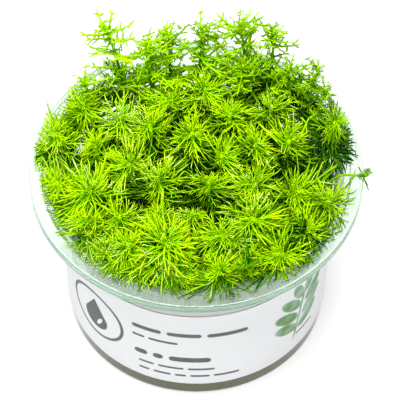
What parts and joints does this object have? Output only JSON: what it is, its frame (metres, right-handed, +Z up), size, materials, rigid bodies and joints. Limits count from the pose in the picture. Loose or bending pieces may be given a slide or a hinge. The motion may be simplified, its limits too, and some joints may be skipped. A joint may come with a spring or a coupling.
{
  "type": "potted aquarium plant",
  "caption": "Clear flanged tissue-culture cup with a paper label and gel, filled with feathery pond milfoil shoots and taller see-through shoots at the back.",
  "frame": {"origin": "centre of the cup's flat underside", "axes": "+Z up; the middle of the label faces -Y and the tall shoots stand at +Y"},
  "size_m": [0.0832, 0.08, 0.0779],
  "materials": {
    "clear_plastic": "gloss",
    "label_paper": "satin",
    "nutrient_gel": "satin",
    "young_leaf": "satin",
    "old_leaf": "satin"
  },
  "bodies": {
    "root": {"cup": "clear_plastic", "label": "label_paper", "gel": "nutrient_gel", "shoot_01": "young_leaf", "shoot_02": "young_leaf", "shoot_03": "young_leaf", "shoot_04": "young_leaf", "shoot_05": "young_leaf", "shoot_06": "young_leaf", "shoot_07": "young_leaf", "shoot_08": "young_leaf", "shoot_09": "young_leaf", "shoot_10": "young_leaf", "shoot_11": "young_leaf", "shoot_12": "young_leaf", "shoot_13": "young_leaf", "shoot_14": "young_leaf", "shoot_15": "young_leaf", "shoot_16": "young_leaf", "shoot_17": "young_leaf", "shoot_18": "young_leaf", "shoot_19": "young_leaf", "shoot_20": "young_leaf", "shoot_21": "young_leaf", "shoot_22": "young_leaf", "shoot_23": "young_leaf", "shoot_24": "young_leaf", "shoot_25": "young_leaf", "shoot_26": "young_leaf", "shoot_27": "young_leaf", "shoot_28": "young_leaf", "shoot_29": "young_leaf", "shoot_30": "young_leaf", "shoot_31": "young_leaf", "shoot_32": "young_leaf", "shoot_33": "young_leaf", "shoot_34": "young_leaf", "shoot_35": "young_leaf", "shoot_36": "young_leaf", "shoot_37": "young_leaf", "tall_shoot_01": "old_leaf", "tall_shoot_02": "old_leaf", "tall_shoot_03": "old_leaf", "tall_shoot_04": "old_leaf", "tall_shoot_05": "old_leaf", "tall_shoot_06": "old_leaf", "tall_shoot_07": "old_leaf", "tall_shoot_08": "old_leaf", "tall_shoot_09": "old_leaf", "tall_shoot_10": "old_leaf", "tall_shoot_11": "old_leaf", "overhanging_shoot": "old_leaf"}
  },
  "joints": []
}
